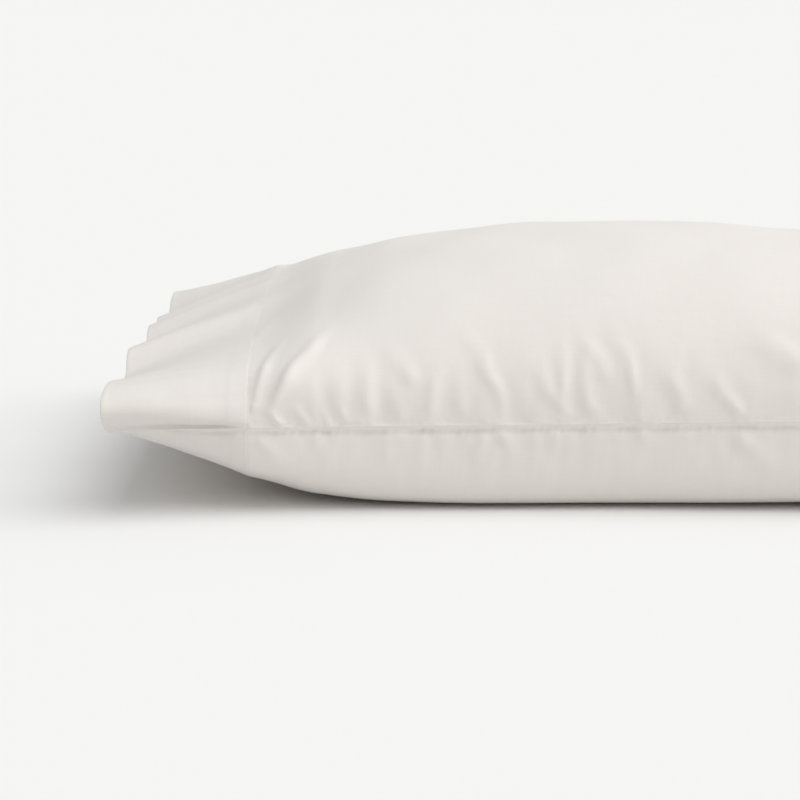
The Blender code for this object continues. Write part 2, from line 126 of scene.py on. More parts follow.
# one row for each fold: which side seam it starts from (0 front, 1 back), its start and tip
# as distance from the mouth and distance up the cloth from that seam, sideways bow of its
# middle, half width at its start, height of its ridge
UPPER_FOLDS = (
    (0, 106, 12, 126, 112, 0.0, 3.4, 2.6),
    (0, 119, 8, 162, 112, 0.0, 4.2, 4.6),
    (0, 103, 15, 116, 17, 0.0, 2.4, 1.8),
    (0, 104, 136, 119, 192, 0.0, 4.0, 1.2),
    (0, 130, 0, 110, 22, 0.0, 2.2, 2.4),
    (0, 147, 0, 128, 21, 0.0, 2.2, 1.9),
    (0, 162, 0, 149, 22, 0.0, 2.2, 1.8),
    (0, 175, 0, 162, 24, 0.0, 2.4, 1.5),
    (0, 149, 3, 147, 46, 0.0, 4.4, 1.4),
    (0, 170, 3, 170, 50, 0.0, 4.6, 1.8),
    (0, 189, 3, 191, 54, 0.0, 4.6, 1.5),
    (0, 215, 3, 201, 40, 0.0, 4.4, 1.6),
    (0, 224, 26, 196, 76, 0.0, 5.0, 1.4),
    (0, 233, 2, 236, 60, 0.0, 4.8, 2.2),
    (0, 255, 4, 252, 58, 0.0, 4.4, 1.7),
    (0, 290, 2, 248, 88, 4.0, 5.0, 2.2),
    (0, 338, -2, 298, 72, -5.0, 4.6, 2.2),
    (0, 331, 10, 333, 76, -4.0, 4.6, 2.0),
    (0, 352, -2, 346, 72, -4.5, 4.6, 2.0),
    (0, 362, 28, 334, 90, 0.0, 4.6, 1.6),
    (0, 383, 14, 356, 84, 5.0, 4.8, 1.8),
    (0, 417, 4, 400, 56, 0.0, 5.0, 2.4),
    (0, 460, 3, 426, 44, 0.0, 4.8, 2.7),
    (0, 506, 36, 456, 76, 0.0, 8.0, 3.0),
    (0, 524, 3, 514, 40, 0.0, 4.8, 1.7),
    (0, 561, 3, 536, 56, -3.0, 5.4, 2.4),
    (0, 604, 6, 568, 74, 4.0, 6.0, 2.8),
    (0, 640, 3, 632, 50, 0.0, 5.0, 2.0),
    (0, 700, 8, 640, 76, 3.0, 7.0, 3.0),
    (1, 104, 8, 128, 116, 0.0, 4.6, 3.4),
    (1, 113, 7, 172, 108, 0.0, 5.8, 4.8),
    (1, 134, 2, 126, 20, 0.0, 3.0, 1.1),
    (1, 154, 3, 158, 48, 0.0, 4.6, 1.9),
    (1, 182, 3, 174, 44, 0.0, 4.6, 1.8),
    (1, 226, 4, 204, 62, 3.0, 5.2, 2.5),
    (1, 252, 3, 254, 50, 0.0, 4.6, 2.0),
    (1, 300, 4, 270, 74, -4.0, 5.4, 2.8),
    (1, 318, 16, 322, 60, 3.0, 4.8, 2.0),
    (1, 352, 3, 344, 52, 0.0, 4.8, 2.2),
    (1, 404, 4, 374, 66, 4.0, 5.4, 2.6),
    (1, 436, 3, 438, 46, 0.0, 4.6, 1.8),
    (1, 486, 4, 452, 58, -3.0, 5.4, 2.6),
    (1, 530, 3, 522, 46, 0.0, 5.0, 2.0),
    (1, 588, 5, 552, 66, 4.0, 6.0, 2.7),
    (1, 632, 3, 626, 48, 0.0, 5.0, 1.9),
    (1, 700, 8, 642, 72, -3.0, 7.0, 3.0),
)
LOWER_FOLDS = (
    (0, 108, 1, 141, 38, -2.0, 4.6, 2.0),
    (0, 149, 2, 162, 34, 0.0, 4.6, 1.3),
    (0, 199, 3, 203, 36, 0.0, 4.6, 1.3),
    (0, 229, 3, 220, 30, 0.0, 4.4, 1.3),
    (0, 272, 2, 260, 42, 0.0, 5.0, 2.1),
    (0, 284, 14, 266, 46, 0.0, 4.2, 1.6),
    (0, 284, 1, 302, 38, 0.0, 5.0, 2.3),
    (0, 331, 1, 340, 28, 0.0, 4.4, 1.4),
    (0, 384, 1, 392, 20, 0.0, 3.0, 1.3),
    (0, 452, 1, 487, 40, -2.0, 5.0, 2.6),
    (0, 530, 2, 548, 34, 0.0, 4.8, 1.5),
    (0, 590, 2, 612, 42, 0.0, 5.2, 2.0),
    (0, 692, 4, 648, 46, 0.0, 6.0, 2.2),
    (1, 108, 1, 146, 42, -2.0, 5.0, 2.0),
    (1, 168, 2, 178, 34, 0.0, 4.6, 1.4),
    (1, 228, 2, 216, 38, 0.0, 4.8, 1.7),
    (1, 290, 2, 310, 42, 0.0, 5.0, 2.0),
    (1, 356, 2, 350, 32, 0.0, 4.4, 1.4),
    (1, 420, 2, 446, 42, -2.0, 5.0, 2.2),
    (1, 500, 2, 492, 34, 0.0, 4.6, 1.4),
    (1, 570, 2, 594, 42, 0.0, 5.2, 2.0),
    (1, 692, 4, 650, 44, 0.0, 6.0, 2.2),
)

# one row for each place along the ridge of the near flute: distance from the mouth, distance up
# the cloth from the front seam, how far the cloth stands out there
FLUTE_RIDGE = (
    (0, 20, 1.6), (20, 17.5, 2.4), (37, 14, 3.4), (49, 11, 4.0), (66, 8.5, 4.2), (85, 6.5, 3.0),
    (98, 5, 1.2), (104, 4, 0.0),
)
RIDGE_PLACE, RIDGE_HEIGHT = 1, 2
RIDGE_SOFTNESS = 13.0     # above its ridge the flute falls back over this distance
RIDGE_HOLLOW = 0.75       # share of its height by which the cloth below the ridge is drawn in
HOLLOW_PLACE = 0.22       # where the hollow is deepest, as a share of the way up to the ridge

# soft unevenness of the cloth, in mm
FOLD_SPREAD = 1.5         # the folds are this much wider than their tables' half widths
FOLD_RISE = 0.8           # and this share of their tables' heights
FOLD_WANDER = 1.1         # how far the folds stray from their straight run
FOLD_UNEVEN = 0.14        # share by which their height varies
FOLD_NARROW = 0.8         # share of its width with which a fold starts
FOLD_WIDENING = 0.6       # and the share that it gains by its tip
FOLD_FADE_IN = 0.18       # a fold is full after this share of its length
FOLD_FADE_OUT = 0.8       # and dies out over this share
FOLD_HOLLOW = 0.8         # depth of the hollows beside a ridge, against the ridge
FOLD_END = 6.0            # folds die out this near to the closed-end seam
GATHER = 0.42             # soft flutes where the seams gather the upper cloth
GATHER_BELOW = 0.22       # and the lower cloth
GATHER_LIE = 0.14         # how far the flutes lie over on the upper cloth
GATHER_LIE_BELOW = 0.45   # and on the lower cloth
GATHER_LONGEST = 21.0
GATHER_SHORTEST = 10.0
GATHER_REACH = 34.0       # how far up the cloth they reach
GATHER_START = 5.0        # they grow over this distance from the seam
GATHER_AFTER_HEM = 14.0   # and over this distance from the hem stitching
CRUSH = 0.20              # small uneven crush between the folds
CRUSH_REACH = 45.0
CRUSH_START = 6.0
CRUSH_AFTER_HEM = 12.0
SWELL = 0.55              # soft unevenness of the filling
SWELL_EDGE = 60.0         # it grows over this distance from every seam
DRAG = 0.16               # fine drawn lines along the hem's flutes

# seams and stitching, in mm
SEAM_ROLL = 1.0           # rolled edge of the upper panel along the side seams
SEAM_ROLL_AT = 0.8        # how far up the cloth the roll stands
SEAM_ROLL_WIDTH = 0.7
SEAM_SINK = 2.0           # lower panel drawn in just below the side seams
SEAM_SINK_AT = 3.4
SEAM_SINK_WIDTH = 2.7
TICK_PITCH = 6.8          # one small pucker for each of the seam's gathered stitches
TICK_DEPTH = 0.62
TICK_REACH = 4.2          # how far from its middle a tick reaches
TICK_MIDDLE = 2.5         # how far up the cloth a tick is strongest
TICK_SLANT = 0.35
TICK_DRIFT = 2.2          # how far the ticks stray from an even pitch
TICK_ABOVE = 0.3          # share of its depth that a tick has on the upper panel
PUCKER_DEPTH = 0.65       # larger uneven puckers along the seams
PUCKER_REACH = 16.0
PUCKER_START = 3.0
HEM_WELT = 0.40           # the turned-in edge of the hem lies under the cloth beside the stitching
WELT_START = 87.0
WELT_EDGE = 2.4           # softness of the welt's own edge
WELT_SHOWN = 80.0         # the welt shows most within this distance of the side seams
GROOVE_DEPTH = 0.30       # cloth pulled down by the hem stitching
GROOVE_WIDTH = 0.9
GROOVE_SHOWN = 70.0       # the groove is deepest within this distance of the side seams
EDGE_ROLL = 0.25          # folded edge of the mouth
EDGE_ROLL_AT = 1.6
EDGE_ROLL_WIDTH = 1.6
DRAW_PITCH = 9.0          # small creases across the hem stitching
DRAW_DEPTH = 0.22
DRAW_DRIFT = 2.5          # how far they stray from an even pitch
DRAW_ON_HEM = 7.0         # how far they reach onto the hem
DRAW_ON_BODY = 12.0       # and onto the body
WALL = 1.1                # two layers of cotton in the open hem
WALL_TAPER = 5.0          # the walls meet at the side seams over this distance
WALL_LEAST = 0.12         # what is left of the wall at the side seams
LIP_STEPS = 6             # the folded edge of the mouth turns over in this many steps
NOSE_START = 96.0         # inner face of the hem ends and the filling's rounded end begins
STITCH_PITCH = 3.1
STITCH_LENGTH = 2.3
STITCH_RADIUS = 0.18
STITCH_LIFT = 0.06        # the middle of the thread lies this far above the cloth
STITCH_WANDER = 0.15
STITCH_UNEVEN = 0.08      # share by which the stitches differ in length

# one row for each look of the cloth, in the order of its numbers: name, colour, deeper colour
# where the cloth lies low between its threads and in its crush (painted shade, with some uneven
# thread tone); the hem's colours are painted shade, set about 5% deeper than the body's so that
# its tone in this light is nearer the photo's
COTTON_LOOKS = (
    ("ivory_cotton", (0.840, 0.808, 0.780), (0.805, 0.770, 0.735)),
    ("ivory_cotton_inside", (0.83, 0.795, 0.76), (0.79, 0.755, 0.715)),
    ("ivory_cotton_hem_painted_shade", (0.795, 0.766, 0.741), (0.762, 0.731, 0.70)),
)
WARP_THREADS = 1900.0     # threads in a metre of cloth
WEFT_THREADS = 2100.0
THREAD_COLOUR = (0.84, 0.81, 0.77)
THREAD_DEEP = (0.74, 0.71, 0.66)
FLOOR_TONE = 0.888
FLOOR_HALF = 12.0         # half the width of the floor, in metres

# studio light
SKY_STRENGTH = 0.60
SKY_LEAN = 0.16           # the sky is this much stronger on the right than overhead
SKY_LOW = (1.0, 0.93, 0.81)
SKY_HIGH = (0.99, 1.0, 1.0)
# one row for each sun: name, direction toward it, strength, softness in degrees, colour
SUNS = (
    ("key", (0.40, -0.15, 1.0), 1.28, 60.0, (1.0, 1.0, 1.0)),
    ("side", (1.0, 0.2, 0.4), 0.54, 40.0, (1.0, 0.985, 0.96)),
)

# camera, in metres and degrees
CAMERA_PLACE = (-0.0789, -2.4693, 0.5284)
CAMERA_DOWN = 11.12       # below the horizon
CAMERA_LEFT = 1.756       # turned to the left of straight across the case
LENS = 144.0
SENSOR = 36.0

# mesh spacing: up to this place, spacing; places along the case, then shares across a panel
STATION_RUNS = (
    (2.4, 0.8), (84, 2.55), (98, 2.0), (106, 0.8), (140, 1.75), (530, 2.0), (690, 2.6),
    (714, 2.0), (720, 0.75),
)
SHARE_RUNS = (
    (0.015, 0.0015), (0.06, 0.0045), (0.22, 0.0058), (0.80, 0.0135), (0.94, 0.0075),
    (0.985, 0.0045), (1.0, 0.0022),
)
INNER_STEP = 2            # the inner wall keeps every second row of the outside
# one row for each ring of the filling's rounded end: share of the height, distance in
NOSE_RINGS = (
    (0.90, 95.2), (0.80, 93.6), (0.68, 91.2), (0.54, 88.6), (0.40, 86.4), (0.26, 84.8), (0.12, 84.0),
)
NOSE_NARROWING = 0.12     # share by which its last ring is narrower than its first

SEED = 7


# ---------------------------------------------------------------- shape of the cloth

def spaced(runs):
    """Positions from zero, evenly spaced within each run."""
    places = [0.0]
    start = 0.0
    for stop, step in runs:
        count = max(1, int(round((stop - start) / step)))
        for index in range(1, count + 1):
            places.append(start + (stop - start) * index / count)
        start = float(stop)
    return np.array(places)


def curve_slopes(places, values):
    """Slopes of a smooth curve that never overshoots its rows."""
    steps = np.diff(places)
    rates = np.diff(values) / steps
    slopes = np.zeros_like(values)
    slopes[0] = rates[0]
    slopes[-1] = rates[-1]
    for index in range(1, len(values) - 1):
        before = rates[index - 1]
        after = rates[index]
        if before * after > 0.0:
            weight_before = 2.0 * steps[index] + steps[index - 1]
            weight_after = steps[index] + 2.0 * steps[index - 1]
            total = weight_before + weight_after
            slopes[index] = total / (weight_before / before + weight_after / after)
    return slopes


def curve(rows, column, at):
    """Smooth value of one column of a table at the given places of its first column."""
    table = np.array(rows, dtype=float)
    places = table[:, 0]
    values = table[:, column]
    slopes = curve_slopes(places, values)
    at = np.clip(np.asarray(at, dtype=float), places[0], places[-1])
    left = np.clip(np.searchsorted(places, at, side="right") - 1, 0, len(places) - 2)
    step = places[left + 1] - places[left]
    part = (at - places[left]) / step
    rest = 1.0 - part
    value = (1.0 + 2.0 * part) * rest ** 2 * values[left]
    value = value + part * rest ** 2 * step * slopes[left]
    value = value + part ** 2 * (3.0 - 2.0 * part) * values[left + 1]
    return value - part ** 2 * rest * step * slopes[left + 1]


def smooth_share(value):
    """Zero to one, level at both ends."""
    value = np.clip(value, 0.0, 1.0)
    return value * value * (3.0 - 2.0 * value)


def bell(distance, width):
    """One at zero distance, dying out over the width."""
    return np.exp(-(distance / width) ** 2)


def end_fullness(distance, power):
    """One along the case, falling round to zero at the closed-end seam."""
    part = min(max((distance - (LENGTH - END_ROUND)) / END_ROUND, 0.0), 1.0)
    return (1.0 - part ** power) ** 0.5


def settle(height):
    """Press the underside softly onto the surface it lies on."""
    pressed = np.clip(height + SETTLE, 0.0, None) ** 2 / (4.0 * SETTLE)
    return np.where(height > SETTLE, height, pressed)


def full_section(distance, shares, upper):
    """Across and height of a filled section at equal shares of its cloth."""
    turn = np.pi * smooth_share(np.linspace(0.0, 1.0, SECTION_STEPS))
    across = -np.cos(turn) * float(curve(SECTIONS, HALF_WIDTH, distance))
    bow = np.clip(np.sin(turn), 0.0, None)
    if upper:
        size = float(curve(SECTIONS, RISE, distance)) * end_fullness(distance, END_TOP_POWER)
        height = size * bow ** float(curve(SECTIONS, RISE_POWER, distance))
        lean = float(curve(SECTIONS, LEAN, distance))
        height = height - lean * np.cos(turn) * bow ** LEAN_POWER
    else:
        size = float(curve(SECTIONS, DROP, distance)) * end_fullness(distance, END_BOTTOM_POWER)
        height = -size * bow ** float(curve(SECTIONS, DROP_POWER, distance))
    lengths = np.hypot(np.diff(across), np.diff(height))
    run = np.concatenate([[0.0], np.cumsum(lengths)])
    run = run / run[-1]
    return np.interp(shares, run, across), np.interp(shares, run, height)


def sewn_shares(table, shares):
    """Where the given shares lie along the line of the hem stitching."""
    steps = np.linspace(0.0, 1.0, SEWN_STEPS)
    across = curve(table, SEWN_ACROSS, steps)
    height = curve(table, SEWN_HEIGHT, steps)
    lengths = np.hypot(np.diff(across), np.diff(height))
    run = np.concatenate([[0.0], np.cumsum(lengths)])
    return np.interp(shares, steps, run / run[-1])


def section_row(distance, shares, upper):
    """Points across one station: mouth, straight cloth to the stitching, then the filled body."""
    table = UPPER_HEM if upper else LOWER_HEM
    loose = max(1.0 - distance / HEM_DEPTH, 0.0)
    part = min(max((distance - HEM_DEPTH) / (FILLED_BY - HEM_DEPTH), 0.0), 1.0)
    filled = 2.0 * part - part ** 2
    slant = 1.0 - smooth_share((distance - HEM_DEPTH) / (SETTLED_BY - HEM_DEPTH))
    slanted = shares + (sewn_shares(table, shares) - shares) * slant
    full_across, full_height = full_section(distance, slanted, upper)
    sewn_half = float(curve(SECTIONS, HALF_WIDTH, HEM_DEPTH))
    sewn_across = curve(table, SEWN_ACROSS, shares) - sewn_half
    tight_across = (1.0 - filled) * sewn_across + filled * full_across
    tight_height = (1.0 - filled) * curve(table, SEWN_HEIGHT, shares) + filled * full_height
    y = loose * (curve(table, MOUTH_ACROSS, shares) - MOUTH_HALF) + (1.0 - loose) * tight_across
    z = loose * curve(table, MOUTH_HEIGHT, shares) + (1.0 - loose) * tight_height
    z = z + float(curve(SECTIONS, SEAM_HEIGHT, distance))
    if upper:
        z = z + HEM_CROWN * 4.0 * loose * (1.0 - loose) * np.sin(np.pi * shares)
    else:
        z = settle(z)
    half = float(curve(SECTIONS, HALF_WIDTH, distance))
    drawn = min(max((distance - DRAW_START) / (LENGTH - DRAW_START), 0.0), 1.0) ** 2
    x = distance + loose * curve(table, MOUTH_PULL, shares)
    x = x + (1.0 - loose) * (1.0 - filled) * curve(table, SEWN_PULL, shares)
    x = x - END_DRAWN_IN * drawn * (1.0 - (y / half) ** 2)
    return np.stack([x - LENGTH / 2.0, y, z], axis=-1)


def base_panel(stations, shares, upper):
    rows = [section_row(float(distance), shares, upper) for distance in stations]
    return np.array(rows)


def cloth_distances(grid):
    """Distance along the cloth from the front seam and from the back seam."""
    lengths = np.linalg.norm(np.diff(grid, axis=1), axis=2)
    start = np.zeros((grid.shape[0], 1))
    front = np.concatenate([start, np.cumsum(lengths, axis=1)], axis=1)
    back = front[:, -1:] - front
    return front, back


def outward_directions(grid, upper):
    along = np.gradient(grid, axis=0)
    across = np.gradient(grid, axis=1)
    out = np.cross(along, across)
    size = np.linalg.norm(out, axis=2, keepdims=True)
    out = out / np.maximum(size, 1e-9)
    return out if upper else -out


# ---------------------------------------------------------------- relief of the cloth

def waves(first, second, count, longest, shortest, seed):
    """Smooth uneven field of unit size: waves of many lengths and directions added up."""
    dice = np.random.default_rng(seed)
    field = np.zeros(np.broadcast(first, second).shape)
    weight = 0.0
    for _ in range(count):
        length = longest * (shortest / longest) ** dice.random()
        heading = dice.random() * 2.0 * np.pi
        phase = dice.random() * 2.0 * np.pi
        strength = (length / longest) ** 0.5
        field = field + strength * np.sin(
            (first * np.cos(heading) + second * np.sin(heading)) * 2.0 * np.pi / length + phase
        )
        weight = weight + strength ** 2
    return field / np.sqrt(weight / 2.0)


def run_waves(place, count, longest, shortest, seed):
    """The same uneven field along one direction only."""
    return waves(place, 0.0 * place, count, longest, shortest, seed)


def fold_height(fold, distance, up):
    """A soft ridge, narrow at the seam and wider at its tip, with a shallow hollow beside it."""
    start, start_up, tip, tip_up, bow, half_width, height = fold[1:]
    line = np.array([tip - start, tip_up - start_up], dtype=float)
    length = np.hypot(line[0], line[1])
    line = line / length
    along = ((distance - start) * line[0] + (up - start_up) * line[1]) / length
    beside = (distance - start) * line[1] - (up - start_up) * line[0]
    inside = np.clip(along, 0.0, 1.0)
    beside = beside - bow * 4.0 * inside * (1.0 - inside)
    beside = beside / (FOLD_SPREAD * half_width * (FOLD_NARROW + FOLD_WIDENING * inside))
    fade = smooth_share(inside / FOLD_FADE_IN) * smooth_share((1.0 - inside) / FOLD_FADE_OUT)
    return FOLD_RISE * height * fade * (1.0 - FOLD_HOLLOW * beside ** 2) * np.exp(-beside ** 2)


def flute_ridge(distance, up):
    """The near flute's ridge, rolled over the cloth below it, from the mouth to the stitching."""
    place = curve(FLUTE_RIDGE, RIDGE_PLACE, distance)
    past = np.clip((up - place) / RIDGE_SOFTNESS, 0.0, None)
    below = np.clip(up / place, 0.0, 1.0)
    climb = np.clip((below - HOLLOW_PLACE) / (1.0 - HOLLOW_PLACE), 0.0, 1.0)
    rise = (1.0 + RIDGE_HOLLOW) * climb - RIDGE_HOLLOW * smooth_share(below / HOLLOW_PLACE)
    return curve(FLUTE_RIDGE, RIDGE_HEIGHT, distance) * rise * np.exp(-past ** 2)


def gather_relief(distance, up, upper, seed):
    """Soft flutes beside a seam, uneven in strength and reach."""
    lie = GATHER_LIE if upper else GATHER_LIE_BELOW
    flutes = waves(distance, lie * up, 16, GATHER_LONGEST, GATHER_SHORTEST, seed)
    strength = 0.75 + 0.45 * run_waves(distance, 8, 150.0, 45.0, seed + 1)
    strength = np.clip(strength, 0.15, 1.7)
    reach = 1.0 + 0.3 * run_waves(distance, 8, 120.0, 40.0, seed + 2)
    reach = GATHER_REACH * np.clip(reach, 0.5, 1.6)
    body = smooth_share((distance - HEM_DEPTH) / GATHER_AFTER_HEM) * smooth_share(up / GATHER_START)
    size = GATHER if upper else GATHER_BELOW
    return size * flutes * strength * body * np.exp(-(up / reach) ** 2)


def seam_relief(distance, up, upper, seed):
    """Rolled edge, small ticks and larger puckers beside one seam."""
    uneven = run_waves(distance, 9, 90.0, 12.0, seed)
    if upper:
        relief = SEAM_ROLL * (1.0 + 0.12 * uneven) * bell(up - SEAM_ROLL_AT, SEAM_ROLL_WIDTH)
    else:
        relief = -SEAM_SINK * bell(up - SEAM_SINK_AT, SEAM_SINK_WIDTH)
    drift = TICK_DRIFT * run_waves(distance, 6, 70.0, 25.0, seed + 1)
    tick = np.sin(2.0 * np.pi * (distance + drift + (TICK_SLANT * up)) / TICK_PITCH)
    strength = np.clip(0.8 + 0.35 * run_waves(distance, 7, 60.0, 14.0, seed + 2), 0.0, 1.6)
    depth = TICK_DEPTH * (TICK_ABOVE if upper else 1.0)
    relief = relief + depth * strength * tick * bell(up - TICK_MIDDLE, TICK_REACH)
    pucker = waves(distance + 0.25 * up, 0.15 * up, 12, 46.0, 17.0, seed + 3)
    reach = smooth_share(up / PUCKER_START) * np.exp(-up / PUCKER_REACH)
    return relief + PUCKER_DEPTH * pucker * reach


def hem_relief(distance, up, edge, seed):
    """Welt of the turned-in edge, groove of the stitching, folded mouth edge, drawn lines."""
    past = distance - HEM_DEPTH
    wander = 0.35 * run_waves(up, 6, 160.0, 40.0, seed)
    welt = smooth_share((distance - WELT_START - 2.0 * wander) / WELT_EDGE)
    welt = welt * smooth_share((HEM_DEPTH - 0.3 - distance) / GROOVE_WIDTH)
    relief = HEM_WELT * welt
    relief = relief * (0.4 + 0.6 * bell(edge, WELT_SHOWN))
    tight = GROOVE_DEPTH * (0.35 + 0.65 * bell(edge, GROOVE_SHOWN))
    relief = relief - tight * bell(past, GROOVE_WIDTH)
    drift = DRAW_DRIFT * run_waves(up, 6, 90.0, 30.0, seed + 1)
    crease = np.sin(2.0 * np.pi * (up + drift) / DRAW_PITCH)
    crease = crease * np.clip(0.6 + 0.6 * run_waves(up, 7, 120.0, 30.0, seed + 2), 0.0, 1.5)
    side = np.where(distance < HEM_DEPTH, bell(past, DRAW_ON_HEM), bell(past, DRAW_ON_BODY))
    relief = relief + DRAW_DEPTH * crease * side
    drag = waves(0.08 * distance, up, 18, 24.0, 8.0, seed + 3)
    within = smooth_share((HEM_DEPTH - distance) / 10.0) * smooth_share((distance + 30.0) / 90.0)
    relief = relief + DRAG * drag * within * smooth_share(edge / 30.0)
    return relief + EDGE_ROLL * bell(distance - EDGE_ROLL_AT, EDGE_ROLL_WIDTH)


def end_relief(distance, up, upper, seed):
    """Rolled edge and puckers along the closed-end seam."""
    left = LENGTH - distance
    relief = (SEAM_ROLL if upper else -SEAM_SINK) * bell(left - SEAM_ROLL_AT, SEAM_ROLL_WIDTH)
    pucker = waves(up, 0.3 * distance, 12, 52.0, 18.0, seed)
    reach = smooth_share(left / PUCKER_START) * np.exp(-left / PUCKER_REACH)
    return relief + PUCKER_DEPTH * pucker * reach


def folds_of(distance, front, back, upper, seed):
    """Every fold of a panel, with the small crush and the gathers between them."""
    wander = FOLD_WANDER * waves(distance, front, 14, 110.0, 34.0, seed + 6)
    lift = FOLD_WANDER * waves(distance, front, 14, 110.0, 34.0, seed + 7)
    edge = np.minimum(front, back)
    folds = np.zeros(front.shape)
    for fold in (UPPER_FOLDS if upper else LOWER_FOLDS):
        up = back if fold[0] else front
        folds = folds + fold_height(fold, distance + wander, up + lift)
    folds = folds * (1.0 + FOLD_UNEVEN * waves(distance, front, 14, 48.0, 16.0, seed + 8))
    crush = waves(distance, 0.4 * front, 18, 44.0, 13.0, seed + 9)
    crush = crush * smooth_share((distance - HEM_DEPTH) / CRUSH_AFTER_HEM)
    crush = crush * smooth_share(edge / CRUSH_START)
    folds = folds + CRUSH * crush * np.exp(-(edge / CRUSH_REACH) ** 2)
    folds = folds + gather_relief(distance, front, upper, seed + 60)
    folds = folds + gather_relief(distance, back, upper, seed + 70)
    if upper:
        folds = folds + flute_ridge(distance, front)
    return folds * smooth_share((LENGTH - distance) / FOLD_END)


def swell_of(distance, front, edge, seed):
    """Soft unevenness of the filling, level along every seam."""
    full = smooth_share((distance - HEM_DEPTH) / SWELL_EDGE) * smooth_share(edge / SWELL_EDGE)
    full = full * smooth_share((LENGTH - distance) / SWELL_EDGE)
    return SWELL * waves(distance, front, 16, 220.0, 70.0, seed + 5) * full


def relief_of(grid, stations, upper):
    """How far each point of a panel stands out from its plain shape, in mm."""
    front, back = cloth_distances(grid)
    distance = np.repeat(stations[:, None], grid.shape[1], axis=1)
    seed = SEED if upper else SEED + 50
    edge = np.minimum(front, back)
    relief = folds_of(distance, front, back, upper, seed)
    relief = relief + swell_of(distance, front, edge, seed)
    relief = relief + seam_relief(distance, front, upper, seed + 10)
    relief = relief + seam_relief(distance, back, upper, seed + 20)
    relief = relief + hem_relief(distance, front, edge, seed + 30)
    relief = relief + end_relief(distance, front, upper, seed + 40)
    calm = smooth_share(edge / 1.2)
    calm = calm * smooth_share((LENGTH - distance) / 1.5)
    return relief * calm * smooth_share(grid[:, :, 2] / FLOOR_CALM)


def panel(stations, shares, upper):
    grid = base_panel(stations, shares, upper)
    out = outward_directions(grid, upper)
    grid = grid + out * relief_of(grid, stations, upper)[:, :, None]
    grid[:, :, 2] = np.maximum(grid[:, :, 2], 0.0)
    return grid


# ---------------------------------------------------------------- mesh of the cloth

def closed_rings(upper, lower):
    """Rings of points round the case: the upper panel to the back seam, the lower one home."""
    return np.concatenate([upper, lower[:, -2:0:-1]], axis=1)


def ring_out(rings):
    """Outward direction at each point of the rings."""
    along = np.gradient(rings, axis=0)
    across = np.roll(rings, -1, axis=1) - np.roll(rings, 1, axis=1)
    out = np.cross(along, across)
    size = np.linalg.norm(out, axis=2, keepdims=True)
    return out / np.maximum(size, 1e-9)


class Cloth:
    """Vertices, four-sided faces and cloth coordinates of the case, gathered ring by ring."""

    def __init__(self, columns):
        self.columns = columns
        self.points = []
        self.count = 0
        self.faces = []
        self.marks = []
        self.looks = []

    def add_points(self, points):
        first = self.count
        self.points.append(points)
        self.count = self.count + len(points)
        return np.arange(first, first + len(points))

    def band(self, near, far, near_marks, far_marks, look=BODY_LOOK):
        """Faces between two rings of vertex numbers, with their cloth coordinates."""
        after = np.roll(near, -1)
        far_after = np.roll(far, -1)
        self.faces.append(np.stack([near, far, far_after, after], axis=1))
        marks = np.stack([near_marks[:-1], far_marks[:-1], far_marks[1:], near_marks[1:]], axis=1)
        self.marks.append(marks)
        self.looks.append(np.full(len(near), look))


def ring_marks(distance, around):
    """Cloth coordinates of one ring, in metres, with the front seam at both of its ends."""
    return np.stack([np.full(len(around), distance * MM), around * MM], axis=1)


def around_ring(upper, lower):
    """Distance round the cloth for one ring, on from the front seam back to it."""
    up = np.linalg.norm(np.diff(upper, axis=0), axis=1)
    down = np.linalg.norm(np.diff(lower[::-1], axis=0), axis=1)
    return np.concatenate([[0.0], np.cumsum(np.concatenate([up, down]))])


def lip_rings(ring, out, wall, turns):
    """The folded edge of the mouth, turned over in a half circle from outside to inside."""
    toward = np.array([-1.0, 0.0, 0.0])
    centre = ring - out * wall[:, None] / 2.0
    rings = []
    for turn in turns:
        lift = out * math.cos(turn) + toward * math.sin(turn)
        rings.append(centre + lift * wall[:, None] / 2.0)
    return rings


def nose_rings(wall_ring, columns):
    """The filling's rounded end inside the sleeve, ring by ring toward the mouth."""
    half = columns - 1
    upper = wall_ring[:columns]
    lower = np.concatenate([wall_ring[:1], wall_ring[:half - 1:-1]])
    middle = (upper + lower) / 2.0
    rings = []
    for share, distance in NOSE_RINGS:
        narrow = 1.0 - NOSE_NARROWING * (1.0 - share)
        above = middle + (upper - middle) * share
        below = middle + (lower - middle) * share
        for row in (above, below):
            row[:, 1] = row[:, 1] * narrow
            row[:, 0] = row[:, 0] - (NOSE_START - distance)
        above[0] = (above[0] + below[0]) / 2.0
        above[-1] = (above[-1] + below[-1]) / 2.0
        rings.append(np.concatenate([above, below[-2:0:-1]]))
    return rings


def close_slit(cloth, ring, columns, mark):
    """Join the upper and lower halves of the innermost ring."""
    size = len(ring)
    faces = []
    for index in range(columns - 1):
        above = (ring[index], ring[index + 1])
        below = (ring[(size - index) % size], ring[size - index - 1])
        if index == 0:
            faces.append((above[0], below[1], above[1], above[1]))
        elif index == columns - 2:
            faces.append((above[0], below[0], above[1], above[1]))
        else:
            faces.append((above[0], below[0], below[1], above[1]))
    cloth.faces.append(np.array(faces))
    cloth.marks.append(np.tile(mark[:1], (len(faces), 4, 1)))
    cloth.looks.append(np.full(len(faces), INSIDE_LOOK))


